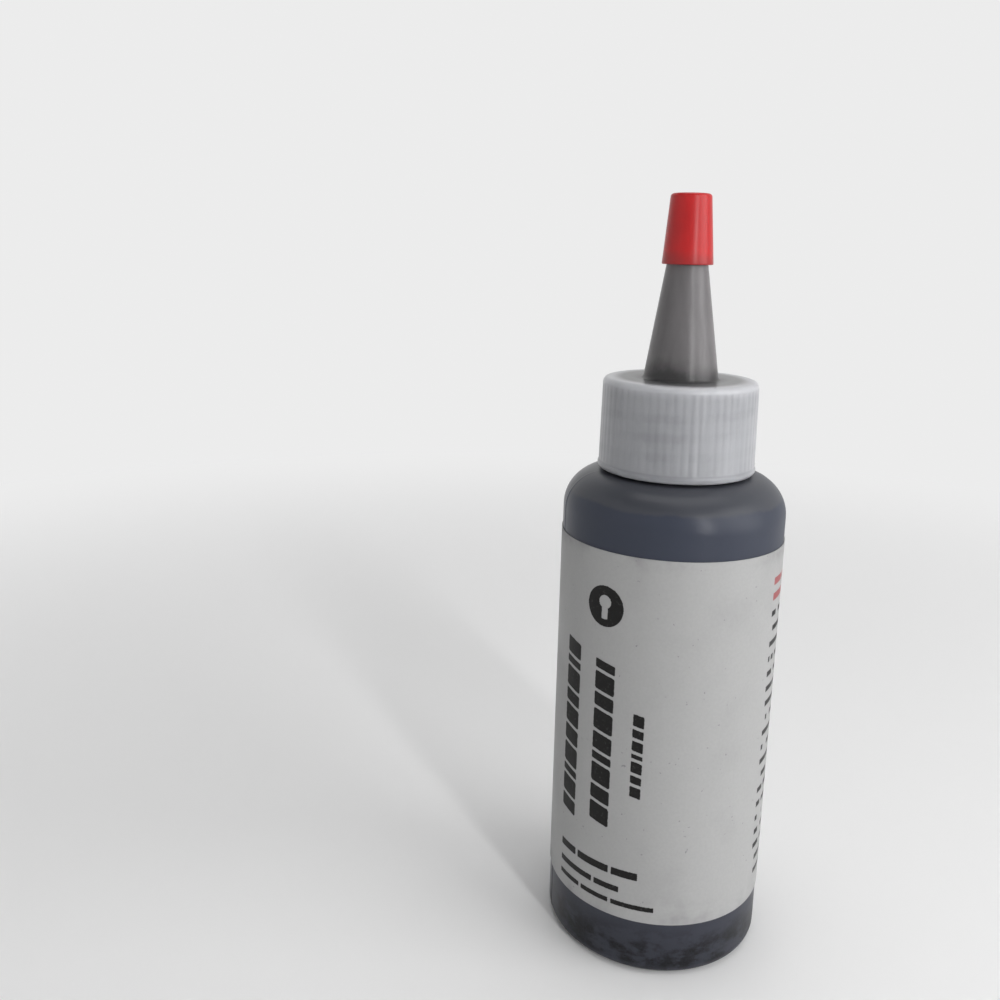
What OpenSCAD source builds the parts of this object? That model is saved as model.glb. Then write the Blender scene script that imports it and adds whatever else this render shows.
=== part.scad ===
// Squeeze bottle of powdered graphite, with a screw-on spout closure and a push-on tip cap.
// Lengths are in millimetres. The origin is the middle of the ring that the bottle stands on,
// and +Z runs up the axis that all the pieces share. The label's seam faces +Y.

/* [Bottle] */
// Outside diameter of the body
body_d = 38; // [34:0.5:46]
// Height of the body, from the standing ring to the top of the shoulder
body_h = 85; // [70:0.5:110]
// Thickness of the blown wall
body_wall = 1; // [0.8:0.1:1.4]
// Radius of the rounded shoulder
shoulder_r = 6.5; // [5:0.25:7]
// Radius of the heel at the foot of the wall
heel_r = 2; // [1.6:0.2:3]
// Thickness of the base
base_t = 1.4; // [1:0.1:2]
// Depth of the hollow pushed up into the base
push_up = 1.8; // [1:0.1:2.6]
// Width of the flat ring that the bottle stands on
stand_w = 2.2; // [1.5:0.1:3]

/* [Neck] */
// Outside diameter of the neck at the root of its thread
neck_d = 21.4; // [20:0.1:22.6]
// Outside diameter of the thread, which sets the bore of the skirt around it
thread_d = 23.6; // [23:0.1:25]
// Bore of the neck
neck_bore = 17; // [15:0.25:18]
// Height of the neck above the shoulder
neck_h = 14.6; // [12:0.2:18]
// Outside diameter of the bead under the thread
bead_d = 23; // [22.8:0.1:23.6]
// Height of that bead
bead_h = 1.4; // [1:0.1:2]
// Height of the bead's middle above the shoulder
bead_z = 2.6; // [2:0.1:3.4]

/* [Closure] */
// Thickness of the skirt at its rim
skirt_wall = 1.15; // [0.9:0.05:1.8]
// How much narrower the skirt is across its top than across its rim
skirt_taper = 0.4; // [0:0.1:0.8]
// Gap between the skirt's rim and the shoulder under it
rim_gap = 0.4; // [0.3:0.1:1]
// Height of the plain rim under the ribs
rim_h = 1.5; // [1:0.1:3]
// How far the rim stands out from the ribs
rim_out = 0.15; // [0.05:0.05:0.4]
// Thickness of the closure's top
top_t = 1.4; // [1:0.1:2]
// Radius of the closure's top edge
top_edge_r = 1; // [0.4:0.1:1]
// Number of grip ribs round the skirt
rib_count = 60; // [36:1:90]
// Depth of the grooves between the ribs
rib_depth = 0.2; // [0.1:0.05:0.35]
// Depth of the sealing plug that enters the neck
plug_h = 2.6; // [1.5:0.1:4]
// Wall of the sealing plug
plug_wall = 0.9; // [0.6:0.1:1.2]

/* [Spout] */
// Outside diameter of the spout at its root
spout_d = 12.6; // [11:0.1:13.4]
// Outside diameter of the spout at its end
nozzle_d = 3.7; // [3.2:0.1:5]
// Height of the spout above the closure's top
spout_h = 29.3; // [20:0.1:40]
// Wall of the spout at its root
spout_wall = 1; // [0.8:0.1:1.4]
// Hole in the end of the spout
orifice_d = 1.8; // [1.4:0.1:2.2]
// Radius of the fillet at the foot of the spout
spout_fillet_r = 0.6; // [0.3:0.1:1]

/* [Tip cap] */
// Length of spout that the tip cap covers
cap_grip = 10.4; // [6:0.2:14]
// Wall of the tip cap at its mouth
cap_wall = 0.7; // [0.6:0.05:1.2]
// How much narrower the tip cap is at its closed end than at its mouth
cap_taper = 1.7; // [0.8:0.1:2.4]
// Thickness of the tip cap's closed end
cap_end_t = 1; // [0.8:0.1:2]
// Radius of the tip cap's closed edge
cap_edge_r = 0.6; // [0.3:0.1:0.9]

/* [Label] */
// Bare wall left below the label
label_foot = 10; // [6:0.25:16]
// Bare wall left between the label and the shoulder
label_head = 4; // [1:0.25:10]
// Thickness of the label
label_t = 0.12; // [0.08:0.01:0.3]
// Width of the seam left open at the back of the label
seam_w = 2; // [1:0.25:6]

/* [Graphite] */
// Drop from the top of the shoulder to the edge of the powder
headspace = 19; // [12:0.5:40]
// Rise of the powder in the middle, above its edge
heap_h = 2; // [0.5:0.25:4]
// Thickness of the graphite caked inside the spout
film_t = 0.35; // [0.2:0.05:0.5]

/* [Hidden] */
$fn = 144;

// Cuts run this far past the faces that they open
overrun = 1;
// Clearances between pieces that fit together
thread_clearance = 0.3;
plug_clearance = 0.15;
cap_clearance = 0.1;
powder_clearance = 0.05;
film_clearance = 0.15;
glue_t = 0.03;
// Small edge breaks
lip_bevel = 0.5;
plug_bevel = 0.4;
cap_bevel = 0.3;
neck_fillet_r = 0.8;
// Share of the spout's height that the caked graphite climbs
film_share = 0.78;
// Share of the pitch of the ribs that the groove beside each one takes up
groove_share = 0.5;
// Facets of the wide shallow dome under the base
dome_fn = 720;

body_r = body_d / 2;
inside_r = body_r - body_wall;
neck_r = neck_d / 2;
bore_r = neck_bore / 2;
neck_top = body_h + neck_h;

// The dome under the base springs from the inner edge of the standing ring
dome_span_r = body_r - heel_r - stand_w;
dome_r = (dome_span_r * dome_span_r + push_up * push_up) / (2 * push_up);

skirt_bore_r = thread_d / 2 + thread_clearance;
rib_r = skirt_bore_r + skirt_wall;
rib_top_r = rib_r - skirt_taper / 2;
rim_r = rib_r + rim_out;
rim_z = body_h + rim_gap;
top_z = neck_top + top_t;
plug_r = bore_r - plug_clearance;

spout_r = spout_d / 2;
spout_bore_r = spout_r - spout_wall;
nozzle_r = nozzle_d / 2;
orifice_r = orifice_d / 2;
nozzle_z = top_z + spout_h;
film_top_z = neck_top + film_share * (nozzle_z - neck_top);

cap_mouth_z = nozzle_z - cap_grip;
cap_r = spout_outside(cap_mouth_z) + cap_clearance + cap_wall;
cap_top_r = cap_r - cap_taper / 2;
cap_top_z = nozzle_z + cap_end_t;

label_top_z = body_h - shoulder_r - label_head;
powder_edge_z = body_h - headspace;

// Radius of the spout's outside at a height
function spout_outside(z) = spout_r + (nozzle_r - spout_r) * (z - top_z) / spout_h;

// Radius of the spout's tapered bore at a height
function spout_inside(z) = spout_bore_r + (orifice_r - spout_bore_r) * (z - neck_top) / (nozzle_z - neck_top);

// Half profile of a round post with a rounded foot and a rounded head
module rounded_post(r, low, high, foot_r, head_r) {
    translate([0, low]) square([r - foot_r, high - head_r - low]);
    translate([0, low + foot_r]) square([r, high - head_r - low - foot_r]);
    translate([0, low + foot_r]) square([r - head_r, high - low - foot_r]);
    translate([r - foot_r, low + foot_r]) circle(foot_r);
    translate([r - head_r, high - head_r]) circle(head_r);
}

// Half profile of the hollow in the bottle, drawn in from its wall by a clearance
module body_hollow(clearance) {
    difference() {
        rounded_post(
            inside_r - clearance, base_t + clearance, body_h - body_wall - clearance,
            heel_r, shoulder_r - body_wall
        );
        translate([0, push_up - dome_r]) circle(dome_r + base_t + clearance, $fn = dome_fn);
    }
}

// Half profile of the neck, with its bead, its foot fillet and a bevelled lip
module neck_profile() {
    polygon([
        [0, body_h - body_wall],
        [neck_r, body_h - body_wall],
        [neck_r, neck_top - lip_bevel],
        [neck_r - lip_bevel, neck_top],
        [0, neck_top],
    ]);
    translate([neck_r, body_h]) difference() {
        translate([-neck_fillet_r, -neck_fillet_r]) square(2 * neck_fillet_r);
        translate([neck_fillet_r, neck_fillet_r]) circle(neck_fillet_r);
    }
    translate([0, body_h + bead_z - bead_h / 2]) square([bead_d / 2 - bead_h / 2, bead_h]);
    translate([bead_d / 2 - bead_h / 2, body_h + bead_z]) circle(bead_h / 2);
}

// Bore of the neck, opened out a little at the lip
module neck_bore_profile() {
    translate([0, body_h - shoulder_r]) square([bore_r, neck_h + shoulder_r + overrun]);
    polygon([
        [0, neck_top - lip_bevel],
        [bore_r, neck_top - lip_bevel],
        [bore_r + lip_bevel, neck_top],
        [bore_r + lip_bevel, neck_top + overrun],
        [0, neck_top + overrun],
    ]);
}

module bottle() {
    color("#41444f") rotate_extrude() difference() {
        union() {
            rounded_post(body_r, 0, body_h, heel_r, shoulder_r);
            neck_profile();
        }
        translate([0, push_up - dome_r]) circle(dome_r, $fn = dome_fn);
        body_hollow(0);
        neck_bore_profile();
    }
}

module label() {
    color("#e6e4e0") difference() {
        rotate_extrude() translate([body_r + glue_t, label_foot])
            square([label_t, label_top_z - label_foot]);
        translate([-seam_w / 2, 0, 0]) cube([seam_w, body_d, body_h]);
    }
}

module graphite_powder() {
    color("#2a2b2f") rotate_extrude() intersection() {
        body_hollow(powder_clearance);
        polygon([
            [0, 0],
            [body_r, 0],
            [body_r, powder_edge_z],
            [0, powder_edge_z + heap_h],
        ]);
    }
}

// Half profile of the closure's outside: rim, tapered skirt, rounded top edge and spout
module closure_outline() {
    polygon([
        [0, rim_z],
        [rib_r, rim_z],
        [rib_top_r, top_z - top_edge_r],
        [rib_top_r - top_edge_r, top_z],
        [0, top_z],
    ]);
    translate([rib_top_r - top_edge_r, top_z - top_edge_r]) circle(top_edge_r);
    translate([0, rim_z]) square([rim_r - rim_h / 2, rim_h]);
    translate([rim_r - rim_h / 2, rim_z + rim_h / 2]) circle(rim_h / 2);
    polygon([[0, neck_top], [spout_r, neck_top], [spout_r, top_z], [nozzle_r, nozzle_z], [0, nozzle_z]]);
    translate([spout_r, top_z]) difference() {
        translate([-spout_wall, -spout_fillet_r]) square([spout_wall + spout_fillet_r, 2 * spout_fillet_r]);
        translate([spout_fillet_r, spout_fillet_r]) circle(spout_fillet_r);
    }
}

// Half profile of the space in the skirt, with the ring of the sealing plug left standing
module skirt_hollow() {
    difference() {
        translate([0, rim_z - overrun]) square([skirt_bore_r, neck_top - rim_z + overrun]);
        polygon([
            [plug_r - plug_wall, neck_top - plug_h],
            [plug_r - plug_bevel, neck_top - plug_h],
            [plug_r, neck_top - plug_h + plug_bevel],
            [plug_r, neck_top + overrun],
            [plug_r - plug_wall, neck_top + overrun],
        ]);
    }
}

module spout_bore_profile() {
    polygon([
        [0, neck_top - overrun],
        [spout_bore_r, neck_top - overrun],
        [spout_bore_r, neck_top],
        [orifice_r, nozzle_z],
        [orifice_r, nozzle_z + overrun],
        [0, nozzle_z + overrun],
    ]);
}

// One V groove beside each rib, from the rim to the top edge, leaning in with the skirt's taper
module rib_grooves() {
    skirt_h = top_z - top_edge_r - rim_z;
    lean = atan((rib_r - rib_top_r) / skirt_h);
    groove_w = groove_share * 2 * PI * rib_r / rib_count;
    for (i = [0 : rib_count - 1])
        rotate(i * 360 / rib_count)
            translate([rib_r, 0, rim_z])
                rotate([0, -lean, 0])
                    translate([0, 0, rim_h])
                        linear_extrude(skirt_h - rim_h)
                            polygon([[-rib_depth, 0], [rib_depth, -groove_w], [rib_depth, groove_w]]);
}

module closure() {
    color("#c4c6ca") difference() {
        rotate_extrude() difference() {
            closure_outline();
            skirt_hollow();
            spout_bore_profile();
        }
        rib_grooves();
    }
}

module spout_graphite() {
    wall_r = spout_inside(neck_top) - film_clearance;
    end_r = spout_inside(film_top_z) - film_clearance;
    color("#3a3a3e") rotate_extrude() polygon([
        [wall_r - film_t, neck_top],
        [wall_r, neck_top],
        [end_r, film_top_z],
        [end_r - film_t, film_top_z],
    ]);
}

module tip_cap() {
    color("#c6202a") rotate_extrude() difference() {
        union() {
            polygon([
                [0, cap_mouth_z],
                [cap_r, cap_mouth_z],
                [cap_top_r, cap_top_z - cap_edge_r],
                [cap_top_r - cap_edge_r, cap_top_z],
                [0, cap_top_z],
            ]);
            translate([cap_top_r - cap_edge_r, cap_top_z - cap_edge_r]) circle(cap_edge_r);
        }
        polygon([
            [0, cap_mouth_z - overrun],
            [cap_r - cap_wall + cap_bevel, cap_mouth_z - overrun],
            [cap_r - cap_wall + cap_bevel, cap_mouth_z],
            [spout_outside(cap_mouth_z + cap_bevel) + cap_clearance, cap_mouth_z + cap_bevel],
            [nozzle_r + cap_clearance, nozzle_z],
            [0, nozzle_z],
        ]);
    }
}

bottle();
label();
graphite_powder();
closure();
spout_graphite();
tip_cap();
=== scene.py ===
import math

import bmesh
import bpy
from mathutils import Matrix, Vector
from mathutils import noise as lumps


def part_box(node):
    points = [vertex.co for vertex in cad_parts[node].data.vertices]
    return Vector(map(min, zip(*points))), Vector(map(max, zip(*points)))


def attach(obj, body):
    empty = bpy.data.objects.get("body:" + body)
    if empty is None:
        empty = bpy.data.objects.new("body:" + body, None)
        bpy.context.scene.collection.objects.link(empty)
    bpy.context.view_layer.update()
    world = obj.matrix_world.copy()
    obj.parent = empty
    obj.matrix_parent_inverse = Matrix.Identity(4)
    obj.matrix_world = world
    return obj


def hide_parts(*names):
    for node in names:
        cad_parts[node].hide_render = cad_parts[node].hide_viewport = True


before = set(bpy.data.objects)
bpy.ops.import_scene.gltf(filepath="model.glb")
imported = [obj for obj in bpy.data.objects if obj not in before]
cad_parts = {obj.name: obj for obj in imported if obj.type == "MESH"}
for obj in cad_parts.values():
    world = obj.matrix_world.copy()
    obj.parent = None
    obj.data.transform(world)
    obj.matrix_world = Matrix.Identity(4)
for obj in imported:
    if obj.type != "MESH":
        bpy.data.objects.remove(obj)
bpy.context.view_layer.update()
mm = 0.001

_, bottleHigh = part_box("bottle")
labelLow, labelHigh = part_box("label")
_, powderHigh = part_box("graphite_powder")
closureLow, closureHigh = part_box("closure")
cakeLow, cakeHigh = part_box("spout_graphite")
capLow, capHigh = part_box("tip_cap")
sealZ = bottleHigh.z  # the lip of the neck, where the closure sits
bodyRadius = bottleHigh.x


# Camera, fitted to the edges of the bottle in the photograph
photo = {
    "imageSize": 1000,
    "focalPixels": 978.8,
    "centrePixel": (500, 455),  # where the lens axis meets the picture
    "distance": 168.0 * mm,
    "height": 122.1 * mm,
    "pitchDown": 12.01,
    "yawLeft": 10.4,
    "roll": 1.27,
    "sensorWidth": 36,
    "clip": (0.01, 20),  # metres
}
cameraData = bpy.data.cameras.new("photoCamera")
camera = bpy.data.objects.new("photoCamera", cameraData)
bpy.context.scene.collection.objects.link(camera)
cameraData.sensor_width = photo["sensorWidth"]
cameraData.lens = cameraData.sensor_width * photo["focalPixels"] / photo["imageSize"]
cameraData.shift_x = 0.5 - photo["centrePixel"][0] / photo["imageSize"]
cameraData.shift_y = photo["centrePixel"][1] / photo["imageSize"] - 0.5
cameraData.clip_start, cameraData.clip_end = photo["clip"]
camera.matrix_world = (
    Matrix.Translation((0, -photo["distance"], photo["height"]))
    @ Matrix.Rotation(math.radians(photo["yawLeft"]), 4, "Z")
    @ Matrix.Rotation(math.radians(90 - photo["pitchDown"]), 4, "X")
    @ Matrix.Rotation(math.radians(photo["roll"]), 4, "Z")
)
bpy.context.scene.camera = camera
print("camera set")


# Modelling helpers
weldDistance = 0.0005 * mm


def deselectAll():
    if bpy.context.object and bpy.context.object.mode != "OBJECT":
        bpy.ops.object.mode_set(mode="OBJECT")
    bpy.ops.object.select_all(action="DESELECT")


def makeActive(piece):
    deselectAll()
    piece.select_set(True)
    bpy.context.view_layer.objects.active = piece


def arc(centreR, centreZ, radius, startDeg, endDeg, count):
    # points (radius, height) round a centre, both ends included
    angles = [math.radians(startDeg + (endDeg - startDeg) * i / count) for i in range(count + 1)]
    return [(centreR + radius * math.cos(a), centreZ + radius * math.sin(a)) for a in angles]


def line(start, end, count):
    # evenly spaced points between two points, without the first
    (r0, z0), (r1, z1) = start, end
    return [(r0 + (r1 - r0) * i / count, z0 + (z1 - z0) * i / count) for i in range(1, count + 1)]


def drawProfile(name, points, closed=False):
    # a plane merged to one point, then drawn out point by point in the XZ plane, left in edit mode
    deselectAll()
    bpy.ops.mesh.primitive_plane_add(size=1 * mm, location=(0, 0, 0))
    piece = bpy.context.object
    piece.name = name
    piece.data.name = name
    bpy.ops.object.mode_set(mode="EDIT")
    bpy.ops.mesh.select_all(action="SELECT")
    bpy.ops.mesh.merge(type="CENTER")
    bpy.ops.transform.translate(value=(points[0][0], 0, points[0][1]))
    for (r0, z0), (r1, z1) in zip(points, points[1:]):
        bpy.ops.mesh.extrude_vertices_move(TRANSFORM_OT_translate={"value": (r1 - r0, 0, z1 - z0)})
    if closed:
        mesh = bmesh.from_edit_mesh(piece.data)
        for v in mesh.verts:
            v.select_set(len(v.link_edges) == 1)
        bmesh.update_edit_mesh(piece.data)
        bpy.ops.mesh.edge_face_add()
    return piece


def spinProfile(steps, turnDeg=360):
    # spins the drawn profile about Z, welded and facing out, still in edit mode
    bpy.ops.mesh.select_all(action="SELECT")
    bpy.ops.mesh.spin(steps=steps, angle=math.radians(turnDeg), center=(0, 0, 0), axis=(0, 0, 1))
    bpy.ops.mesh.select_all(action="SELECT")
    bpy.ops.mesh.remove_doubles(threshold=weldDistance)
    bpy.ops.mesh.normals_make_consistent(inside=False)


def closeEnds(sides):
    # caps the open ends of a swept profile that has this many points
    bpy.ops.mesh.select_all(action="SELECT")
    bpy.ops.mesh.fill_holes(sides=sides)
    bpy.ops.mesh.normals_make_consistent(inside=False)


def selectPoints(piece, test):
    # selects the points for which test(radius, angle in degrees, height) is true
    mesh = bmesh.from_edit_mesh(piece.data)
    bpy.ops.mesh.select_all(action="DESELECT")
    for v in mesh.verts:
        angle = math.degrees(math.atan2(v.co.y, v.co.x)) % 360
        v.select_set(test(math.hypot(v.co.x, v.co.y), angle, v.co.z))
    mesh.select_flush_mode()
    bmesh.update_edit_mesh(piece.data)


def finishPiece(piece, body, material, smoothDeg=35, replaced=None):
    # smooth shaded except at real edges, painted, and riding on its body
    makeActive(piece)
    bpy.ops.object.shade_smooth_by_angle(angle=math.radians(smoothDeg))
    deselectAll()
    piece.data.materials.clear()
    piece.data.materials.append(material)
    if replaced:
        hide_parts(replaced)
    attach(piece, body)
    print(piece.name, "made,", len(piece.data.polygons), "faces")


# Material helpers
def newMaterial(name):
    material = bpy.data.materials.new(name)
    material.use_nodes = True
    return material, material.node_tree, material.node_tree.nodes["Principled BSDF"]


def addNode(tree, kind, inputs=None, **settings):
    node = tree.nodes.new(kind)
    for key, value in settings.items():
        setattr(node, key, value)
    for key, value in (inputs or {}).items():
        if isinstance(value, bpy.types.NodeSocket):
            tree.links.new(value, node.inputs[key])
        else:
            node.inputs[key].default_value = value
    return node


def calc(tree, operation, a, b=0.0, clamp=False):
    return addNode(tree, "ShaderNodeMath", {0: a, 1: b}, operation=operation, use_clamp=clamp).outputs[0]


def times(tree, a, b):
    return calc(tree, "MULTIPLY", a, b)


def plus(tree, a, b):
    return calc(tree, "ADD", a, b)


def vectorCalc(tree, operation, a, b=(0, 0, 0), output="Vector"):
    return addNode(tree, "ShaderNodeVectorMath", {0: a, 1: b}, operation=operation).outputs[output]


def ramp(tree, value, low, high, outLow=0.0, outHigh=1.0):
    inputs = {"Value": value, "From Min": low, "From Max": high, "To Min": outLow, "To Max": outHigh}
    return addNode(tree, "ShaderNodeMapRange", inputs, interpolation_type="SMOOTHSTEP").outputs["Result"]


def blend(tree, factor, a, b):
    # colour a where the factor is 0, colour b where it is 1
    node = addNode(tree, "ShaderNodeMix", data_type="RGBA")
    for socket, value in ((node.inputs[0], factor), (node.inputs[6], a), (node.inputs[7], b)):
        if isinstance(value, bpy.types.NodeSocket):
            tree.links.new(value, socket)
        else:
            socket.default_value = value if isinstance(value, float) else (*value, 1)
    return node.outputs[2]


def objectPlace(tree, scale=(1, 1, 1)):
    coords = addNode(tree, "ShaderNodeTexCoord").outputs["Object"]
    return addNode(tree, "ShaderNodeMapping", {"Vector": coords, "Scale": scale}).outputs["Vector"]


def splitPlace(tree, place):
    return addNode(tree, "ShaderNodeSeparateXYZ", {"Vector": place}).outputs


def axisRadius(tree, x, y):
    # how far a place is from the bottle's axis
    return calc(tree, "SQRT", plus(tree, times(tree, x, x), times(tree, y, y)))


def grain(tree, place, size, detail=4.0, roughness=0.55):
    # noise whose features are about this size, in metres
    inputs = {"Vector": place, "Scale": 1 / size, "Detail": detail, "Roughness": roughness}
    return addNode(tree, "ShaderNodeTexNoise", inputs).outputs["Fac"]


def addBump(tree, shader, layers):
    # each layer is a height between 0 and 1 and its depth in metres
    normal = None
    for height, depth in layers:
        node = addNode(tree, "ShaderNodeBump", {"Height": height, "Distance": depth})
        if normal:
            tree.links.new(normal, node.inputs["Normal"])
        normal = node.outputs["Normal"]
    tree.links.new(normal, shader.inputs["Normal"])


def setShader(tree, shader, **values):
    # plain values go on the shader's own sockets, node outputs are linked
    for name, value in values.items():
        socket = shader.inputs[name.replace("_", " ").title().replace("Ior", "IOR")]
        if isinstance(value, bpy.types.NodeSocket):
            tree.links.new(value, socket)
        else:
            socket.default_value = value


# Bottle: blown polyethylene, dark from the graphite behind its wall
bottleShape = {
    "steps": 160,
    "wall": 1.0 * mm,
    "shoulderRadius": 6.5 * mm,
    "heelRadius": 2.0 * mm,
    "standWidth": 2.2 * mm,
    "pushUp": 1.8 * mm,
    "baseThickness": 1.4 * mm,
    "neckRadius": 10.7 * mm,
    "boreRadius": 8.5 * mm,
    "neckHeight": 14.6 * mm,
    "beadRadius": 11.5 * mm,
    "beadHeight": 1.4 * mm,
    "beadMiddle": 2.6 * mm,
    "lipRadius": 0.45 * mm,
    "neckFillet": 0.8 * mm,
    "seamDeg": 18,  # where the halves of the mould met, round from +X
    "seamWidth": 0.36 * mm,
    "seamRise": 0.07 * mm,
    "weldLength": 20 * mm,  # pinched end of the blown tube, across the base
    "weldWidth": 1.0 * mm,
    "weldRise": 0.35 * mm,
}
shoulderTop = bottleHigh.z - bottleShape["neckHeight"]


def bottleOutside(shape):
    heel = shape["heelRadius"]
    shoulder = shape["shoulderRadius"]
    fillet = shape["neckFillet"]
    lip = shape["lipRadius"]
    neck = shape["neckRadius"]
    bead = shape["beadHeight"] / 2
    ringInner = bodyRadius - heel - shape["standWidth"]
    domeRadius = (ringInner ** 2 + shape["pushUp"] ** 2) / (2 * shape["pushUp"])
    domeEdge = 90 - math.degrees(math.asin(ringInner / domeRadius))
    beadZ = shoulderTop + shape["beadMiddle"]
    points = arc(0, shape["pushUp"] - domeRadius, domeRadius, 90, domeEdge, 12)
    points += arc(bodyRadius - heel, heel, heel, -90, 0, 10)
    points += line((bodyRadius, heel), (bodyRadius, shoulderTop - shoulder), 10)
    points += arc(bodyRadius - shoulder, shoulderTop - shoulder, shoulder, 0, 90, 16)[1:]
    points += arc(neck + fillet, shoulderTop + fillet, fillet, 270, 180, 6)
    points += arc(shape["beadRadius"] - bead, beadZ, bead, -90, 90, 10)
    points += [(neck, beadZ + bead), (neck, bottleHigh.z - lip)]
    points += arc(neck - lip, bottleHigh.z - lip, lip, 0, 90, 5)[1:]
    return points


def bottleInside(shape):
    lip = shape["lipRadius"]
    bore = shape["boreRadius"]
    inner = bodyRadius - shape["wall"]
    shoulder = shape["shoulderRadius"] - shape["wall"]
    heel = shape["heelRadius"]
    floorZ = shape["baseThickness"]
    ceiling = shoulderTop - shape["wall"]
    points = arc(bore + lip, bottleHigh.z - lip, lip, 90, 180, 5)
    points += [(bore, ceiling)]
    points += arc(inner - shoulder, ceiling - shoulder, shoulder, 90, 0, 8)
    points += arc(inner - heel, floorZ + heel, heel, 0, -90, 5)
    points += line(points[-1], (0, floorZ + shape["pushUp"]), 4)
    return points


def addMouldSeam(piece, shape):
    # a fine ridge down both sides where the halves of the mould met
    seam = math.radians(shape["seamDeg"])
    across = Vector((-math.sin(seam), math.cos(seam), 0))
    for offset in (-shape["seamWidth"] / 2, shape["seamWidth"] / 2):
        bpy.ops.mesh.select_all(action="SELECT")
        bpy.ops.mesh.bisect(plane_co=across * offset, plane_no=across)
    bendR = bodyRadius - shape["shoulderRadius"]
    bendZ = shoulderTop - shape["shoulderRadius"]
    halfWall = shape["wall"] / 2

    def onSeam(r, angle, z):
        apart = abs(r * math.sin(math.radians(angle) - seam))
        if z > bendZ:
            fromBend = math.hypot(r - bendR, z - bendZ)
            outside = r > bendR and fromBend > shape["shoulderRadius"] - halfWall
        else:
            outside = r > bodyRadius - halfWall and z > shape["heelRadius"] / 2
        return apart < shape["seamWidth"] / 4 and outside and z < shoulderTop

    selectPoints(piece, onSeam)
    grow = 1 + shape["seamRise"] / bodyRadius
    bpy.ops.transform.resize(value=(grow, grow, 1), center_override=(0, 0, 0))


def addPinchWeld(piece, shape):
    # the pinched end of the blown tube, raised across the pushed-up base
    seam = math.radians(shape["seamDeg"])
    ringInner = bodyRadius - shape["heelRadius"] - shape["standWidth"]
    halves = (shape["weldLength"] / 2, shape["weldWidth"] / 2)
    slack = 0.01 * mm

    def onDome(r, angle, z):
        domeZ = shape["pushUp"] * (1 - (r / ringInner) ** 2)
        return r < ringInner and z < domeZ + shape["baseThickness"] / 2

    def onWeld(r, angle, z):
        turn = math.radians(angle) - seam
        along, across = abs(r * math.cos(turn)), abs(r * math.sin(turn))
        return onDome(r, angle, z) and along < halves[0] + slack and across < halves[1] + slack

    for turn, half in zip((seam, seam + math.pi / 2), halves):
        normal = Vector((math.cos(turn), math.sin(turn), 0))
        for side in (-half, half):
            selectPoints(piece, onDome)
            bpy.ops.mesh.bisect(plane_co=normal * side, plane_no=normal)
    selectPoints(piece, onWeld)
    bpy.ops.mesh.extrude_region_move(TRANSFORM_OT_translate={"value": (0, 0, -shape["weldRise"])})
    bpy.ops.mesh.select_all(action="SELECT")
    bpy.ops.mesh.normals_make_consistent(inside=False)


bottle = drawProfile("bottleShell", bottleOutside(bottleShape) + bottleInside(bottleShape))
spinProfile(bottleShape["steps"])
addMouldSeam(bottle, bottleShape)
addPinchWeld(bottle, bottleShape)

bottleFinish = {
    "packed": (0.036, 0.038, 0.052),  # powder lying against the wall
    "film": (0.036, 0.042, 0.062),  # a thin film of dust above the powder
    "clump": (0.0018, 0.0018, 0.0022),
    "shoulderPaintedLight": (0.062, 0.064, 0.072),  # painted light: a paler tone on the upward-facing slope of the shoulder
    "shoulderLightFrom": 81.6 * mm,
    "neck": (0.13, 0.133, 0.14),  # natural plastic with powder behind it
    "filmFrom": 58 * mm,  # heights between which the powder gives way to the film
    "filmTo": 76 * mm,
    "smearFull": 4 * mm,  # heights between which the smears of the lower wall die out
    "smearTop": 10.5 * mm,
    "clumpSize": 7 * mm,
    "smearSize": 2.6 * mm,
    "runSize": 2.4 * mm,
    "dustSize": 0.35 * mm,
    "hazeSize": 30 * mm,
    "rippleSize": 26 * mm,
    "rippleDepth": 0.5 * mm,
    "skinSize": 0.9 * mm,
    "skinDepth": 0.012 * mm,
    "roughness": (0.29, 0.45),
    "specular": 0.26,
}


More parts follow.
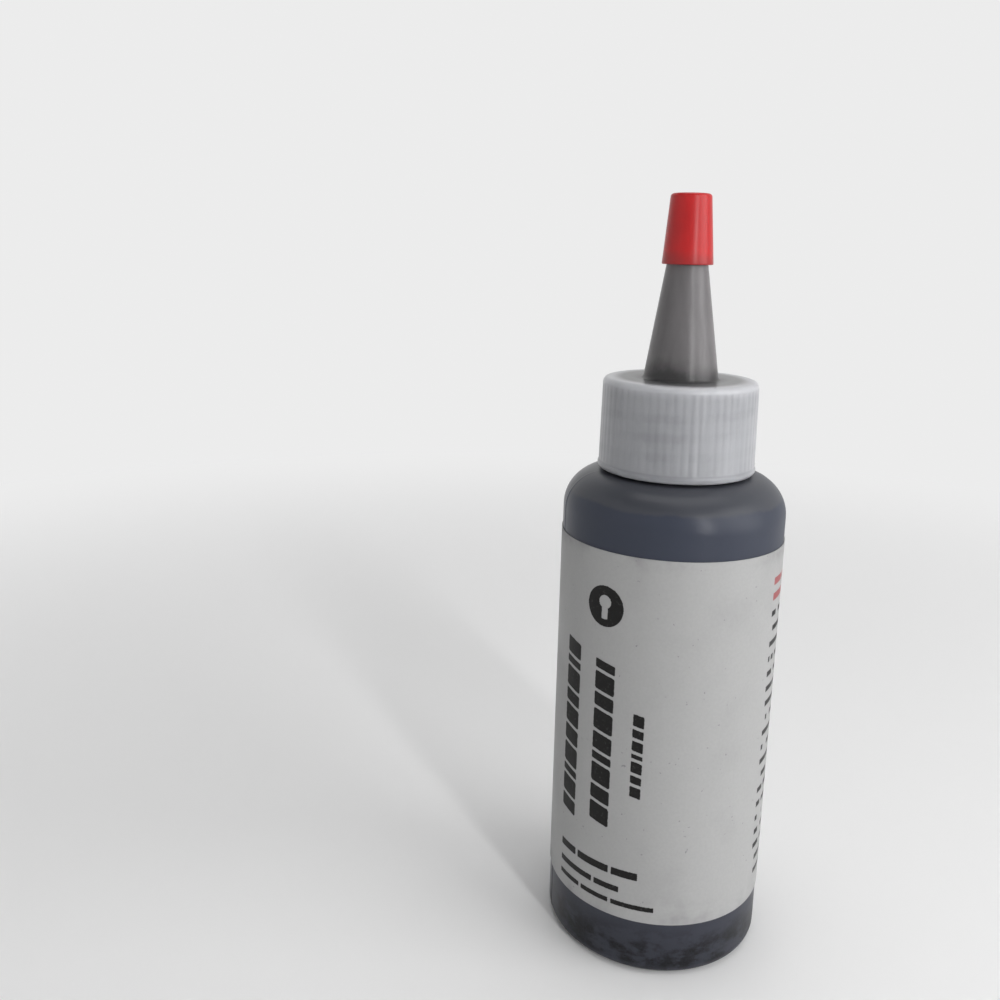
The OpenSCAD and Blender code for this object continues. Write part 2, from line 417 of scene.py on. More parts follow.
def paintBottle(finish):
    material, tree, shader = newMaterial("dustyPolyethylene")
    place = objectPlace(tree)
    z = splitPlace(tree, place)["Z"]
    clumps = grain(tree, place, finish["clumpSize"], 6, 0.62)
    smears = grain(tree, objectPlace(tree, (0.55, 0.55, 1)), finish["smearSize"], 5, 0.6)
    runs = grain(tree, objectPlace(tree, (1, 1, 0.16)), finish["runSize"], 3)
    dust = grain(tree, place, finish["dustSize"], 2)
    haze = grain(tree, place, finish["hazeSize"], 3)
    level = plus(tree, z, ramp(tree, clumps, 0.2, 0.8, -5 * mm, 5 * mm))
    film = ramp(tree, level, finish["filmFrom"], finish["filmTo"])
    colour = blend(tree, film, finish["packed"], finish["film"])
    lowWall = ramp(tree, z, finish["smearTop"], finish["smearFull"])
    lowWall = times(tree, lowWall, ramp(tree, z, 0.6 * mm, 2.4 * mm, 0.5, 1.0))
    smeared = times(tree, ramp(tree, smears, 0.40, 0.60, 0.22, 0.97), lowWall)
    colour = blend(tree, smeared, colour, finish["clump"])
    colour = blend(tree, ramp(tree, runs, 0.52, 0.75, 0.0, 0.35), colour, finish["film"])
    colour = blend(tree, ramp(tree, dust, 0.35, 0.75, 0.0, 0.22), colour, finish["film"])
    # painted light: the upward-facing slope of the shoulder is paler above this height
    shoulderLightMask = plus(tree, z, ramp(tree, clumps, 0.3, 0.7, -0.25 * mm, 0.25 * mm))
    shoulderLightFrom = finish["shoulderLightFrom"]
    shoulderLightMask = ramp(tree, shoulderLightMask, shoulderLightFrom - 0.35 * mm, shoulderLightFrom + 0.35 * mm, 0.0, 0.7)
    colour = blend(tree, shoulderLightMask, colour, finish["shoulderPaintedLight"])
    neckMask = plus(tree, z, ramp(tree, haze, 0.2, 0.8, -0.6 * mm, 0.6 * mm))
    neckMask = ramp(tree, neckMask, shoulderTop + 0.2 * mm, shoulderTop + 1.6 * mm)
    neckColour = blend(tree, ramp(tree, clumps, 0.45, 0.7, 0.0, 0.5), finish["neck"], finish["film"])
    colour = blend(tree, neckMask, colour, neckColour)
    rough = ramp(tree, haze, 0.3, 0.7, *finish["roughness"])
    setShader(tree, shader, base_color=colour, roughness=rough, specular_ior_level=finish["specular"])
    ripple = grain(tree, place, finish["rippleSize"], 1)
    skin = grain(tree, place, finish["skinSize"], 2)
    addBump(tree, shader, [(ripple, finish["rippleDepth"]), (skin, finish["skinDepth"])])
    return material


bottlePlastic = paintBottle(bottleFinish)
finishPiece(bottle, "bottle", bottlePlastic, replaced="bottle")


# Threads: a ridge wound round the neck, and one inside the skirt that runs between its turns
threadShape = {
    "pitch": 3.175 * mm,
    "turns": 1.5,
    "stepsPerTurn": 96,
    "fadeShare": 0.09,  # part of the length at each end that runs out into the wall
    "leastRise": 0.08,  # share of the height that is left at the very ends
    "neckStart": 91.6 * mm,
    # radius and height of the ridge's section, in mm
    "neckSection": (
        (10.55, -1.1), (11.5, -0.5), (11.75, -0.25), (11.75, 0.25), (11.5, 0.5), (10.55, 1.1),
    ),
    "skirtSection": (
        (12.2, -0.95), (11.45, -0.4), (11.2, -0.2), (11.2, 0.2), (11.45, 0.4), (12.2, 0.95),
    ),
}


def makeThread(name, section, startZ, shape):
    points = [(r * mm, startZ + dz * mm) for r, dz in section]
    piece = drawProfile(name, points, closed=True)
    makeActive(piece)
    steps = round(shape["turns"] * shape["stepsPerTurn"])
    screw = piece.modifiers.new("helix", "SCREW")
    screw.angle = math.radians(360 * shape["turns"])
    screw.screw_offset = shape["turns"] * shape["pitch"]
    screw.steps = steps
    screw.render_steps = steps
    bpy.ops.object.modifier_apply(modifier="helix")
    rootRadius = points[0][0]
    for i, vertex in enumerate(piece.data.vertices):
        along = (i // len(points)) / steps
        nearEnd = min(1, min(along, 1 - along) / shape["fadeShare"])
        rise = shape["leastRise"] + (1 - shape["leastRise"]) * nearEnd ** 2 * (3 - 2 * nearEnd)
        radius = math.hypot(vertex.co.x, vertex.co.y)
        shrink = (rootRadius + (radius - rootRadius) * rise) / radius
        vertex.co.x *= shrink
        vertex.co.y *= shrink
    bpy.ops.object.mode_set(mode="EDIT")
    closeEnds(len(points))
    return piece


neckStart = threadShape["neckStart"]
neckThread = makeThread("neckThread", threadShape["neckSection"], neckStart, threadShape)
finishPiece(neckThread, "bottle", bottlePlastic)


# Label: one wrap of coated paper, open at the seam behind
labelShape = {"steps": 236, "seamWidth": 2.0 * mm, "thickness": 0.12 * mm}
labelRadius = -labelLow.y
labelInner = labelRadius - labelShape["thickness"]
seamHalfDeg = math.degrees(math.asin(labelShape["seamWidth"] / 2 / labelRadius))
labelPoints = [(labelInner, labelLow.z), (labelRadius, labelLow.z)]
labelPoints += [(labelRadius, labelHigh.z), (labelInner, labelHigh.z)]
label = drawProfile("wrapLabel", labelPoints, closed=True)
spinProfile(labelShape["steps"], 360 - 2 * seamHalfDeg)
closeEnds(len(labelPoints))
makeActive(label)
label.rotation_euler.z = math.radians(90 - seamHalfDeg)
bpy.ops.object.transform_apply(location=False, rotation=True, scale=False)

# Places on the label are in mm: round from the middle of the front, and up from the standing ring
labelPrint = {
    "paper": (0.385, 0.385, 0.384),
    "ink": (0.0035, 0.0030, 0.0030),
    "red": (0.30, 0.045, 0.05),
    "grime": (0.165, 0.165, 0.17),
    "redCover": 0.85,
    "inkEdge": 0.04,  # half the softness of a printed edge
    "corner": 0.12,  # share of a bar's thickness that is rounded off
    # upright or not, middle across, start along, thickness, lengths of the bars
    "words": (
        (True, -17.2, 25.2, 3.8, (2.5, 3.3, 1.3, 3.6, 2.9, 3.3, 2.2, 3.7, 1.3, 2.9)),
        (True, -9.8, 26.4, 3.8, (3.4, 2.6, 3.5, 1.4, 3.1, 3.6, 2.4, 3.2, 1.6)),
        (True, -3.4, 33.0, 1.9, (1.9, 1.4, 2.0, 0.8, 1.8, 1.5, 2.1)),
        (False, 18.4, -18.8, 1.4, (4.2, 6.6, 4.7)),
        (False, 15.2, -18.8, 1.1, (8.1, 4.8)),
        (False, 12.6, -18.8, 0.9, (5.3, 5.7, 7.5)),
    ),
    "lean": 0.2,  # how far the upright rows slant
    "redWords": ((False, 69.0, 21.5, 1.3, (4.0, 6.5, 3.2)), (False, 66.3, 21.5, 1.3, (6.2, 4.6))),
    "wordGap": 0.55,
    # rows of short dashes
    "rowsFrom": 21.5,
    "rowsTo": 53.0,
    "rowsRagged": 11,
    "rowsTop": 64.6,
    "rowsFoot": 13.0,
    "rowPitch": 2.7,
    "rowShift": 7.31,  # sets the dashes of each row apart from the next
    "dashSize": 2.3,
    # a plain lock sign
    "keyhole": (-10.4, 65.2),
    "discRadius": 3.5,
    "eyeRise": 0.75,
    "eyeRadius": 1.15,
    "slotDrop": 0.9,
    "slotSize": (1.15, 2.6),
    "slotCorner": 0.2,
    # how far soiling reaches in from the lower and the upper edge
    "soilFoot": 7,
    "soilTop": 3,
    # the paper's own grain and gloss, with sizes in metres
    "fraySize": 0.16 * mm,
    "fibreSize": 0.5 * mm,
    "fibreDepth": 0.006 * mm,
    "speckSize": 0.9 * mm,
    "shadeSize": 12 * mm,
    "rippleSize": 18 * mm,
    "rippleDepth": 0.25 * mm,
    "roughness": (0.42, 0.58),
    "specular": 0.24,
}


def rowBars(row, gap):
    # middle round, middle up, width and height of each bar in a row
    upright, across, along, thickness, lengths = row
    bars = []
    for length in lengths:
        middle = along + length / 2
        if upright:
            bars.append((across, middle, thickness, length))
        else:
            bars.append((middle, across, length, thickness))
        along += length + gap
    return bars


def edgeMask(tree, distance, radius):
    # 1 inside the radius, with the soft edge of printed ink
    soft = labelPrint["inkEdge"]
    return ramp(tree, distance, radius + soft, radius - soft)


def barMask(tree, spot, bar, corner):
    # 1 inside a bar with rounded corners
    middleU, middleV, width, height = bar
    radius = corner * min(width, height)
    half = (width / 2 - radius, height / 2 - radius, 0)
    step = vectorCalc(tree, "SUBTRACT", spot, (middleU, middleV, 0))
    step = vectorCalc(tree, "ABSOLUTE", step)
    step = vectorCalc(tree, "SUBTRACT", step, half)
    step = vectorCalc(tree, "MAXIMUM", step)
    return edgeMask(tree, vectorCalc(tree, "LENGTH", step, output="Value"), radius)


def discMask(tree, spot, middle, radius):
    return edgeMask(tree, vectorCalc(tree, "DISTANCE", spot, (*middle, 0), "Value"), radius)


def joinMasks(tree, masks):
    joined = masks[0]
    for mask in masks[1:]:
        joined = calc(tree, "MAXIMUM", joined, mask)
    return joined


def wordMask(tree, u, v, row, look):
    # a row of bars, slanting where it runs up the bottle
    upright, across = row[:2]
    if upright:
        v = plus(tree, v, times(tree, calc(tree, "SUBTRACT", u, across), look["lean"]))
    spot = addNode(tree, "ShaderNodeCombineXYZ", {"X": u, "Y": v}).outputs[0]
    bars = rowBars(row, look["wordGap"])
    return joinMasks(tree, [barMask(tree, spot, bar, look["corner"]) for bar in bars])


def keyholeMask(tree, spot, look):
    # a disc with a keyhole left open in it
    u, v = look["keyhole"]
    disc = discMask(tree, spot, (u, v), look["discRadius"])
    eye = discMask(tree, spot, (u, v + look["eyeRise"]), look["eyeRadius"])
    slot = barMask(tree, spot, (u, v - look["slotDrop"], *look["slotSize"]), look["slotCorner"])
    return calc(tree, "SUBTRACT", disc, joinMasks(tree, [eye, slot]), clamp=True)


def rowsMask(tree, u, v, look):
    # rows of short dashes with a ragged end
    fromTop = calc(tree, "DIVIDE", calc(tree, "SUBTRACT", look["rowsTop"], v), look["rowPitch"])
    row = calc(tree, "FLOOR", fromTop)
    inRow = calc(tree, "FRACT", fromTop)
    band = times(tree, ramp(tree, inRow, 0.28, 0.34), ramp(tree, inRow, 0.70, 0.64))
    where = addNode(tree, "ShaderNodeCombineXYZ", {"X": u, "Y": times(tree, row, look["rowShift"])})
    dash = ramp(tree, grain(tree, where.outputs[0], look["dashSize"], 1, 0.4), 0.40, 0.43)
    end = addNode(tree, "ShaderNodeTexWhiteNoise", {"W": row}, noise_dimensions="1D").outputs["Value"]
    last = ramp(tree, end, 0, 1, look["rowsTo"] - look["rowsRagged"], look["rowsTo"])
    mask = times(tree, band, dash)
    for place, low, high in ((u, look["rowsFrom"], last), (v, look["rowsFoot"], look["rowsTop"])):
        mask = times(tree, mask, calc(tree, "GREATER_THAN", place, low))
        mask = times(tree, mask, calc(tree, "LESS_THAN", place, high))
    return mask


def paintLabel(look):
    material, tree, shader = newMaterial("coatedLabelPaper")
    place = objectPlace(tree)
    x, y, z = (splitPlace(tree, place)[axis] for axis in "XYZ")
    turn = calc(tree, "ARCTAN2", x, times(tree, y, -1.0))
    fray = ramp(tree, grain(tree, place, look["fraySize"], 1), 0.2, 0.8, -0.05, 0.05)
    u = plus(tree, times(tree, turn, labelRadius / mm), fray)
    v = plus(tree, calc(tree, "DIVIDE", z, mm), fray)
    spot = addNode(tree, "ShaderNodeCombineXYZ", {"X": u, "Y": v}).outputs[0]
    ink = joinMasks(tree, [wordMask(tree, u, v, row, look) for row in look["words"]])
    ink = joinMasks(tree, [ink, keyholeMask(tree, spot, look), rowsMask(tree, u, v, look)])
    red = joinMasks(tree, [wordMask(tree, u, v, row, look) for row in look["redWords"]])

    fibre = grain(tree, place, look["fibreSize"], 3)
    shade = grain(tree, place, look["shadeSize"], 4)
    specks = grain(tree, place, look["speckSize"], 2)
    foot, top = labelLow.z / mm, labelHigh.z / mm
    edge = joinMasks(tree, [ramp(tree, v, foot + look["soilFoot"], foot),
                            ramp(tree, v, top - look["soilTop"], top)])
    soil = plus(tree, times(tree, edge, 0.5), 0.10)
    smudge = times(tree, ramp(tree, shade, 0.48, 0.72), soil)
    colour = blend(tree, ramp(tree, fibre, 0.3, 0.7, 0.0, 0.07), look["paper"], look["grime"])
    colour = blend(tree, smudge, colour, look["grime"])
    colour = blend(tree, ramp(tree, specks, 0.715, 0.74, 0.0, 0.6), colour, look["grime"])
    wornInk = times(tree, ink, ramp(tree, fibre, 0.28, 0.42, 0.93, 1.0))
    colour = blend(tree, wornInk, colour, look["ink"])
    colour = blend(tree, times(tree, red, look["redCover"]), colour, look["red"])
    rough = ramp(tree, shade, 0.3, 0.7, *look["roughness"])
    setShader(tree, shader, base_color=colour, roughness=rough, specular_ior_level=look["specular"])
    ripple = grain(tree, place, look["rippleSize"], 1)
    addBump(tree, shader, [(ripple, look["rippleDepth"]), (fibre, look["fibreDepth"])])
    return material


labelPaper = paintLabel(labelPrint)
finishPiece(label, "bottle", labelPaper, replaced="label")


# Graphite: the settled charge in the bottle, and what is caked inside the spout
graphiteShape = {
    "steps": 96,
    "clearance": 0.05 * mm,
    "edgeZ": 66.0 * mm,
    "lumpSize": 3.2 * mm,
    "lumpRise": 0.5 * mm,
    "cakeSteps": 48,
    "cakeThickness": 0.35 * mm,
    "cakeTopRadius": 1.25 * mm,
}
graphiteFinish = {
    "loosePale": (0.034, 0.035, 0.038),
    "looseDark": (0.016, 0.016, 0.018),
    "cakedPale": (0.05, 0.051, 0.055),
    "cakedDark": (0.022, 0.022, 0.025),
    "flake": (0.12, 0.12, 0.125),
    "flakeSize": 0.4 * mm,
    "flakeDepth": 0.08 * mm,
    "patchSize": 5 * mm,
    "patchDepth": 0.4 * mm,
    "roughness": (0.75, 0.42),
}


def roughen(piece, rise, size, test):
    # pushes the chosen points about a little, the same way each run
    for vertex in piece.data.vertices:
        if test(vertex.co):
            vertex.co.z += rise * (lumps.noise(vertex.co / size) - 0.5)


def paintGraphite(name, pale, dark):
    material, tree, shader = newMaterial(name)
    place = objectPlace(tree)
    finish = graphiteFinish
    flakes = grain(tree, place, finish["flakeSize"], 3)
    patches = grain(tree, place, finish["patchSize"], 4)
    colour = blend(tree, ramp(tree, patches, 0.35, 0.7), dark, pale)
    colour = blend(tree, ramp(tree, flakes, 0.64, 0.74, 0.0, 0.8), colour, finish["flake"])
    rough = ramp(tree, flakes, 0.3, 0.75, *finish["roughness"])
    setShader(tree, shader, base_color=colour, roughness=rough)
    addBump(tree, shader, [(patches, finish["patchDepth"]), (flakes, finish["flakeDepth"])])
    return material


powderRadius = powderHigh.x
powderShoulder = bottleShape["heelRadius"]
powderFloor = bottleShape["baseThickness"] + graphiteShape["clearance"]
powderPoints = [(0, powderFloor + bottleShape["pushUp"])]
powderPoints += [(powderRadius * 0.5, powderFloor + bottleShape["pushUp"] * 0.6)]
powderHeel = (powderRadius - powderShoulder, powderFloor + powderShoulder)
powderPoints += arc(*powderHeel, powderShoulder, -90, 0, 6)
powderPoints += [(powderRadius, graphiteShape["edgeZ"])]
powderPoints += line(powderPoints[-1], (0, powderHigh.z), 18)
powder = drawProfile("graphiteCharge", powderPoints)
spinProfile(graphiteShape["steps"])
makeActive(powder)
heapFoot = graphiteShape["edgeZ"] + 0.05 * mm
roughen(powder, graphiteShape["lumpRise"], graphiteShape["lumpSize"], lambda co: co.z > heapFoot)
loosePowder = paintGraphite("loosePowder", graphiteFinish["loosePale"], graphiteFinish["looseDark"])
finishPiece(powder, "bottle", loosePowder, replaced="graphite_powder")

cakeFoot = cakeHigh.x
cakeTop = graphiteShape["cakeTopRadius"]
thickness = graphiteShape["cakeThickness"]
cakePoints = [(cakeFoot - thickness, cakeLow.z), (cakeFoot, cakeLow.z)]
cakePoints += line(cakePoints[-1], (cakeTop, cakeHigh.z), 20)
cakePoints += line((cakeTop - thickness, cakeHigh.z), cakePoints[0], 20)[:-1]
cake = drawProfile("spoutCake", cakePoints, closed=True)
spinProfile(graphiteShape["cakeSteps"])
cakedPowder = paintGraphite("cakedPowder", graphiteFinish["cakedPale"], graphiteFinish["cakedDark"])
finishPiece(cake, "spout_fill", cakedPowder, replaced="spout_graphite")


# Closure: one moulding with a ribbed skirt, a rim, a sealing plug and the spout
closureShape = {
    "ribs": 60,
    "grooveDepth": 0.065 * mm,
    "grooveForm": (0, 0, 0.3, 0.8, 1, 0.8, 0.3, 0),  # share of the depth at each point from rib to rib
    "grooveRun": 0.25 * mm,
    "rimHeight": 1.5 * mm,
    "ribRadius": 13.25 * mm,
    "ribTopRadius": 13.05 * mm,
    "skirtBore": 12.1 * mm,
    "topThickness": 1.4 * mm,
    "topEdge": 1.0 * mm,
    "spoutRadius": 6.3 * mm,
    "spoutFillet": 0.6 * mm,
    "spoutWall": 1.0 * mm,
    "nozzleRadius": 1.85 * mm,
    "nozzleEdge": 0.3 * mm,
    "orificeRadius": 0.9 * mm,
    "plugRadius": 8.35 * mm,
    "plugWall": 0.9 * mm,
    "plugDepth": 2.6 * mm,
    "plugBevel": 0.4 * mm,
    "softEdge": 0.25 * mm,
}
closureTop = sealZ + closureShape["topThickness"]
rimZ = closureLow.z
nozzleZ = closureHigh.z


def skirtRadius(z):
    foot, end = closureShape["ribRadius"], closureShape["ribTopRadius"]
    share = (z - rimZ) / (closureTop - closureShape["topEdge"] - rimZ)
    return foot + (end - foot) * share


def spoutRadiusAt(z):
    foot, end = closureShape["spoutRadius"], closureShape["nozzleRadius"]
    share = (z - closureTop) / (nozzleZ - closureTop)
    return foot + (end - foot) * share


def closureOutside(shape):
    rim = shape["rimHeight"] / 2
    rimCentre = closureHigh.x - rim
    rimEnd = math.degrees(math.acos((skirtRadius(rimZ + shape["rimHeight"]) - rimCentre) / rim))
    ribFoot = rimZ + shape["rimHeight"]
    ribHead = closureTop - shape["topEdge"]
    run = shape["grooveRun"]
    points = arc(rimCentre, rimZ + rim, rim, -90, rimEnd, 10)
    points += [(skirtRadius(z), z) for z in (ribFoot, ribFoot + run, ribHead - run, ribHead)]
    points += arc(shape["ribTopRadius"] - shape["topEdge"], ribHead, shape["topEdge"], 0, 90, 8)[1:]
    fillet = shape["spoutFillet"]
    lean = math.atan((shape["spoutRadius"] - shape["nozzleRadius"]) / (nozzleZ - closureTop))
    touchZ = closureTop + fillet - fillet * math.sin(lean)
    centreR = spoutRadiusAt(touchZ) + fillet * math.cos(lean)
    points += line(points[-1], (centreR, closureTop), 4)
    points += arc(centreR, closureTop + fillet, fillet, 270, 180 + math.degrees(lean), 8)[1:]
    edge = shape["nozzleEdge"]
    points += line(points[-1], (spoutRadiusAt(nozzleZ - edge), nozzleZ - edge), 12)
    points += arc(spoutRadiusAt(nozzleZ - edge) - edge, nozzleZ - edge, edge, 0, 90, 5)[1:]
    return points


def closureInside(shape):
    bore = shape["spoutRadius"] - shape["spoutWall"]
    soft = shape["softEdge"]
    plugFoot = sealZ - shape["plugDepth"]
    plugInner = shape["plugRadius"] - shape["plugWall"]
    orifice = shape["orificeRadius"]
    points = [(orifice + soft, nozzleZ), (orifice, nozzleZ - soft), (bore, sealZ)]
    points += [(plugInner, sealZ), (plugInner, plugFoot + soft), (plugInner + soft, plugFoot)]
    points += [(shape["plugRadius"] - shape["plugBevel"], plugFoot)]
    points += [(shape["plugRadius"], plugFoot + shape["plugBevel"]), (shape["plugRadius"], sealZ)]
    points += arc(shape["skirtBore"] - soft, sealZ - soft, soft, 90, 0, 4)
    points += [(shape["skirtBore"], rimZ + soft), (shape["skirtBore"] + soft, rimZ)]
    return points


def cutGrooves(piece, shape):
    perRib = len(shape["grooveForm"])
    stepDeg = 360 / (shape["ribs"] * perRib)
    low = rimZ + shape["rimHeight"] + shape["grooveRun"] / 2
    high = closureTop - shape["topEdge"] - shape["grooveRun"] / 2
    wallMiddle = (shape["skirtBore"] + shape["ribTopRadius"]) / 2
    for share in sorted(set(shape["grooveForm"]) - {0}):
        columns = [i for i, s in enumerate(shape["grooveForm"]) if s == share]
        selectPoints(piece, lambda r, angle, z: low < z < high and r > wallMiddle
                     and round(angle / stepDeg) % perRib in columns)
        pull = 1 - share * shape["grooveDepth"] / shape["ribRadius"]
        bpy.ops.transform.resize(value=(pull, pull, 1), center_override=(0, 0, 0))


closurePoints = closureOutside(closureShape) + closureInside(closureShape)
closure = drawProfile("spoutClosure", closurePoints, closed=True)
spinProfile(closureShape["ribs"] * len(closureShape["grooveForm"]))
cutGrooves(closure, closureShape)

closureFinish = {
    "skirt": (0.375, 0.38, 0.40),  # greyed by the dusty neck behind it
    "edge": (0.46, 0.465, 0.485),  # lighter at the rim and the top edge: thicker plastic with no dark neck behind it, and painted light leaking through these edges
    "spout": (0.168, 0.159, 0.163),
    "spoutDark": (0.080, 0.075, 0.078),
    "rim": (0.27, 0.276, 0.297),  # thinner, so the dark shoulder shows through it
    "threadShade": (0.12, 0.123, 0.132),  # the neck's thread, seen dimly through the skirt
    "topDust": (0.060, 0.058, 0.060),  # powder on the top face and behind it
    "foot": (0.022, 0.021, 0.023),  # graphite packed in the root of the spout
    "dustRadius": (11.8 * mm, 9.6 * mm),  # where the dust on the top face starts, and where it is full
    "spoutRadius": (6.9 * mm, 6.2 * mm),  # the same for the grey of the spout
    "footReach": 2.4 * mm,
    "footCore": 0.2 * mm,
    "cloudSize": 6 * mm,
    "flowSize": 2.6 * mm,
    "skinSize": 0.7 * mm,
    "skinDepth": 0.008 * mm,
    "roughness": (0.28, 0.30),
    "spoutRougher": 0.06,
    "specular": 0.44,
    "scatter": 3.0 * mm,  # how far light spreads in the milky plastic
}


def paintClosure(finish):
    material, tree, shader = newMaterial("milkyPolyethylene")
    place = objectPlace(tree)
    x, y, z = (splitPlace(tree, place)[axis] for axis in "XYZ")
    radius = axisRadius(tree, x, y)
    cloud = grain(tree, place, finish["cloudSize"], 4)
    flow = grain(tree, objectPlace(tree, (1, 1, 0.22)), finish["flowSize"], 3)
    # the rim and the top edge are painted lighter: thicker plastic there, and painted light leaking
    # through them
    edge = joinMasks(tree, [ramp(tree, z, rimZ + 0.7 * mm, rimZ + 0.2 * mm),
                            ramp(tree, z, closureTop - 2.2 * mm, closureTop - 0.5 * mm)])
    rim = ramp(tree, z, rimZ + 1.55 * mm, rimZ + 1.25 * mm)
    rim = times(tree, rim, ramp(tree, radius, 12.6 * mm, 13 * mm, 0.0, 0.6))
    colour = blend(tree, rim, finish["skirt"], finish["rim"])
    colour = blend(tree, edge, colour, finish["edge"])
    wind = times(tree, calc(tree, "ARCTAN2", y, x), threadShape["pitch"] / (2 * math.pi))
    turns = calc(tree, "DIVIDE", calc(tree, "SUBTRACT", z, wind), threadShape["pitch"])
    wave = calc(tree, "PINGPONG", calc(tree, "FRACT", turns), 0.5)
    threaded = ramp(tree, z, rimZ + 2 * mm, rimZ + 4 * mm)
    threaded = times(tree, threaded, ramp(tree, z, sealZ, sealZ - 3 * mm))
    shadow = times(tree, ramp(tree, wave, 0.15, 0.4), ramp(tree, cloud, 0.35, 0.65, 0.03, 0.13))
    shadow = times(tree, shadow, threaded)
    colour = blend(tree, shadow, colour, finish["threadShade"])
    colour = blend(tree, ramp(tree, cloud, 0.45, 0.75, 0.0, 0.14), colour, finish["threadShade"])
    onTop = ramp(tree, z, closureTop - 0.5 * mm, closureTop - 0.1 * mm)
    onTop = times(tree, onTop, ramp(tree, radius, *finish["dustRadius"], 0.0, 0.85))
    colour = blend(tree, onTop, colour, finish["topDust"])
    # the spout is greyed by what is caked inside it, darkest at its foot
    spout = blend(tree, ramp(tree, flow, 0.40, 0.75, 0.0, 0.32), finish["spout"], finish["spoutDark"])
    onSpout = ramp(tree, radius, *finish["spoutRadius"])
    greyed = times(tree, onSpout, ramp(tree, z, closureTop - 1 * mm, closureTop))
    colour = blend(tree, greyed, colour, spout)
    rise = calc(tree, "MAXIMUM", calc(tree, "SUBTRACT", z, closureTop), 0.0)
    out = calc(tree, "MAXIMUM", calc(tree, "SUBTRACT", radius, finish["spoutRadius"][1]), 0.0)
    away = plus(tree, times(tree, rise, 0.55), out)
    away = plus(tree, away, ramp(tree, cloud, 0.3, 0.7, -0.5 * mm, 0.5 * mm))
    foot = ramp(tree, away, finish["footReach"], finish["footCore"], 0.0, 0.92)
    foot = times(tree, foot, ramp(tree, z, closureTop - 1.2 * mm, closureTop - 0.4 * mm))
    colour = blend(tree, foot, colour, finish["foot"])
    rough = ramp(tree, cloud, 0.3, 0.7, *finish["roughness"])
    rough = plus(tree, rough, times(tree, onSpout, finish["spoutRougher"]))
    setShader(tree, shader, base_color=colour, roughness=rough, specular_ior_level=finish["specular"])
    setShader(tree, shader, subsurface_weight=1.0, subsurface_radius=(1.0, 1.0, 1.0),
              subsurface_scale=finish["scatter"])
    addBump(tree, shader, [(grain(tree, place, finish["skinSize"], 2), finish["skinDepth"])])
    return material


closurePlastic = paintClosure(closureFinish)
finishPiece(closure, "closure", closurePlastic, replaced="closure")

skirtStart = neckStart - threadShape["pitch"] / 2
skirtThread = makeThread("skirtThread", threadShape["skirtSection"], skirtStart, threadShape)
finishPiece(skirtThread, "closure", closurePlastic)


# Tip cap: a red push-on tip with a gate mark on its end
capShape = {
    "steps": 120,
    "topEdge": 0.6 * mm,
    "topRadius": 3.38 * mm,
    "mouthEdge": 0.18 * mm,
    "mouthBevel": 0.3 * mm,
    "endThickness": 1.0 * mm,
    "clearance": 0.1 * mm,
    "dish": 0.14 * mm,
    "dishRadius": 2.3 * mm,
    "gateRadius": 0.45 * mm,
    "gateDepth": 0.02 * mm,  # how far the gate mark stays under the end
    "gateEdge": 0.03 * mm,
}


def capProfile(shape):
    top = capHigh.z
    mouth = capLow.z
    mouthRadius = capHigh.x
    soft = shape["mouthEdge"]
    inner = spoutRadiusAt(mouth) + shape["clearance"]
    ceiling = top - shape["endThickness"]
    gate = shape["gateRadius"]
    dish = top - shape["dish"]
    points = [(0, top - shape["gateDepth"]), (gate * 0.7, top - shape["gateEdge"]), (gate, dish)]
    points += [(shape["dishRadius"], dish)]
    points += [(shape["dishRadius"] + shape["dish"] * 2, top)]
    edge = shape["topEdge"]
    points += arc(shape["topRadius"] - edge, top - edge, edge, 90, 0, 8)
    points += line(points[-1], (mouthRadius, mouth + soft), 6)
    points += arc(mouthRadius - soft, mouth + soft, soft, 0, -90, 4)[1:]
    points += [(inner + shape["mouthBevel"], mouth)]
    bevelTop = mouth + shape["mouthBevel"]
    points += [(spoutRadiusAt(bevelTop) + shape["clearance"], bevelTop)]
    points += [(closureShape["nozzleRadius"] + shape["clearance"], ceiling), (0, ceiling)]
    return points


cap = drawProfile("tipCap", capProfile(capShape))
spinProfile(capShape["steps"])

capFinish = {
    "red": (0.47, 0.010, 0.011),
    "deep": (0.36, 0.006, 0.008),
    "dust": (0.10, 0.03, 0.03),
    "dustHeight": 2 * mm,
    "cloudSize": 4 * mm,
    "rubSize": 0.8 * mm,
    "skinSize": 0.6 * mm,
    "skinDepth": 0.006 * mm,
    "roughness": (0.285, 0.36),
    "specular": 0.36,
    "scatter": 0.8 * mm,
}


def paintCap(finish):
    material, tree, shader = newMaterial("redPolyethylene")
    place = objectPlace(tree)
    z = splitPlace(tree, place)["Z"]
    cloud = grain(tree, place, finish["cloudSize"], 3)
    rub = grain(tree, objectPlace(tree, (1, 1, 0.25)), finish["rubSize"], 3)
    colour = blend(tree, ramp(tree, cloud, 0.35, 0.75, 0.0, 0.45), finish["red"], finish["deep"])
    mouth = plus(tree, z, ramp(tree, cloud, 0.2, 0.8, -1 * mm, 1 * mm))
    mouth = ramp(tree, mouth, capLow.z + finish["dustHeight"], capLow.z)
    colour = blend(tree, times(tree, mouth, 0.35), colour, finish["dust"])
    rough = ramp(tree, rub, 0.35, 0.7, *finish["roughness"])
    setShader(tree, shader, base_color=colour, roughness=rough, specular_ior_level=finish["specular"])
    setShader(tree, shader, subsurface_weight=0.1, subsurface_radius=(1.0, 0.2, 0.15),
              subsurface_scale=finish["scatter"])
    addBump(tree, shader, [(grain(tree, place, finish["skinSize"], 2), finish["skinDepth"])])
    return material


finishPiece(cap, "tip", paintCap(capFinish), replaced="tip_cap")


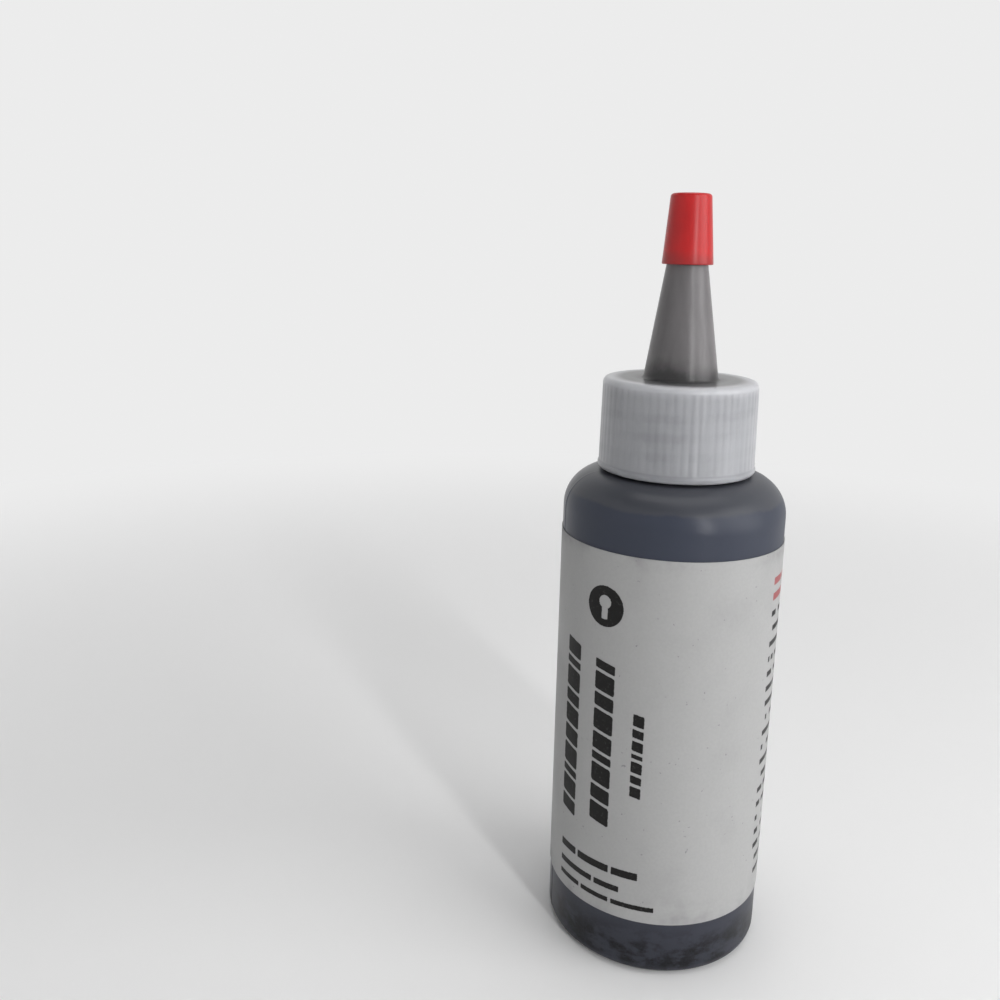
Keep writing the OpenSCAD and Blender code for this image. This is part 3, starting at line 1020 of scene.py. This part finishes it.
# Stage: a round pale floor that curves up into its own backdrop
stageShape = {
    "middleRadius": 0.2,
    "flatRadius": 0.65,
    "coveRadius": 0.4,
    "height": 1.2,
    "steps": 96,
    "paint": (0.88, 0.88, 0.88),
    "paintTo": 0.10,  # pure paint up to here
    "toneFrom": 0.42,  # the full tone from here on
    "tone": (0.84, 0.84, 0.84),
}
flatRadius = stageShape["flatRadius"]
coveRadius = stageShape["coveRadius"]
stagePoints = [(0, 0), (stageShape["middleRadius"], 0), (flatRadius, 0)]
stagePoints += arc(flatRadius, coveRadius, coveRadius, -90, 0, 12)[1:]
stagePoints += [(flatRadius + coveRadius, stageShape["height"])]
floor = drawProfile("floorCove", stagePoints)
spinProfile(stageShape["steps"])
bpy.ops.mesh.flip_normals()
makeActive(floor)
bpy.ops.object.shade_smooth_by_angle(angle=math.radians(40))


def paintStage(shape):
    # matt paint near the object, which fades into an even pale tone further out,
    # as the camera and reflections see it
    material, tree, shader = newMaterial("floorPaint")
    setShader(tree, shader, base_color=(*shape["paint"], 1), roughness=0.85, specular_ior_level=0.1)
    x, y, z = (splitPlace(tree, objectPlace(tree))[axis] for axis in "XYZ")
    far = ramp(tree, plus(tree, axisRadius(tree, x, y), z), shape["paintTo"], shape["toneFrom"])
    rays = addNode(tree, "ShaderNodeLightPath").outputs
    seen = joinMasks(tree, [rays["Is Camera Ray"], rays["Is Glossy Ray"], rays["Is Transmission Ray"]])
    tone = addNode(tree, "ShaderNodeEmission", {"Color": (*shape["tone"], 1)}).outputs[0]
    share = times(tree, far, seen)
    mix = addNode(tree, "ShaderNodeMixShader", {0: share, 1: shader.outputs[0], 2: tone})
    tree.links.new(mix.outputs[0], tree.nodes["Material Output"].inputs["Surface"])
    return material


floor.data.materials.append(paintStage(stageShape))
print("stage made")

# Light: a wide key from the right, a tall strip for the highlights, a weak fill, a soft lamp overhead
# and a pale room
lamps = {
    "key": {"place": (0.56, -0.14, 0.28), "aimZ": 0.07, "width": 0.45, "height": 0.60, "glow": 2.7},
    "strip": {"place": (0.33, -0.47, 0.26), "aimZ": 0.08, "width": 0.045, "height": 0.50, "glow": 19.0},
    "fill": {"place": (-0.50, -0.40, 0.26), "aimZ": 0.06, "width": 0.50, "height": 0.50, "glow": 0.12},
    "top": {"place": (0.05, 0.10, 0.75), "aimZ": 0.08, "width": 0.60, "height": 0.60, "glow": 1.9},
}
roomGlow = 0.15
for lampName, look in lamps.items():
    lamp = bpy.data.lights.new(lampName + "Light", "AREA")
    lamp.shape = "RECTANGLE"
    lamp.size = look["width"]
    lamp.size_y = look["height"]
    lamp.energy = look["glow"] * math.pi * look["width"] * look["height"]
    holder = bpy.data.objects.new(lampName + "Light", lamp)
    bpy.context.scene.collection.objects.link(holder)
    holder.location = look["place"]
    toAim = Vector((0, 0, look["aimZ"])) - Vector(look["place"])
    holder.rotation_euler = toAim.to_track_quat("-Z", "Y").to_euler()
room = bpy.data.worlds.new("paleRoom")
bpy.context.scene.world = room
room.use_nodes = True
background = room.node_tree.nodes["Background"].inputs
background["Color"].default_value = (1, 1, 1, 1)
background["Strength"].default_value = roomGlow
print("lights set")

bpy.context.scene.view_settings.view_transform = "Standard"
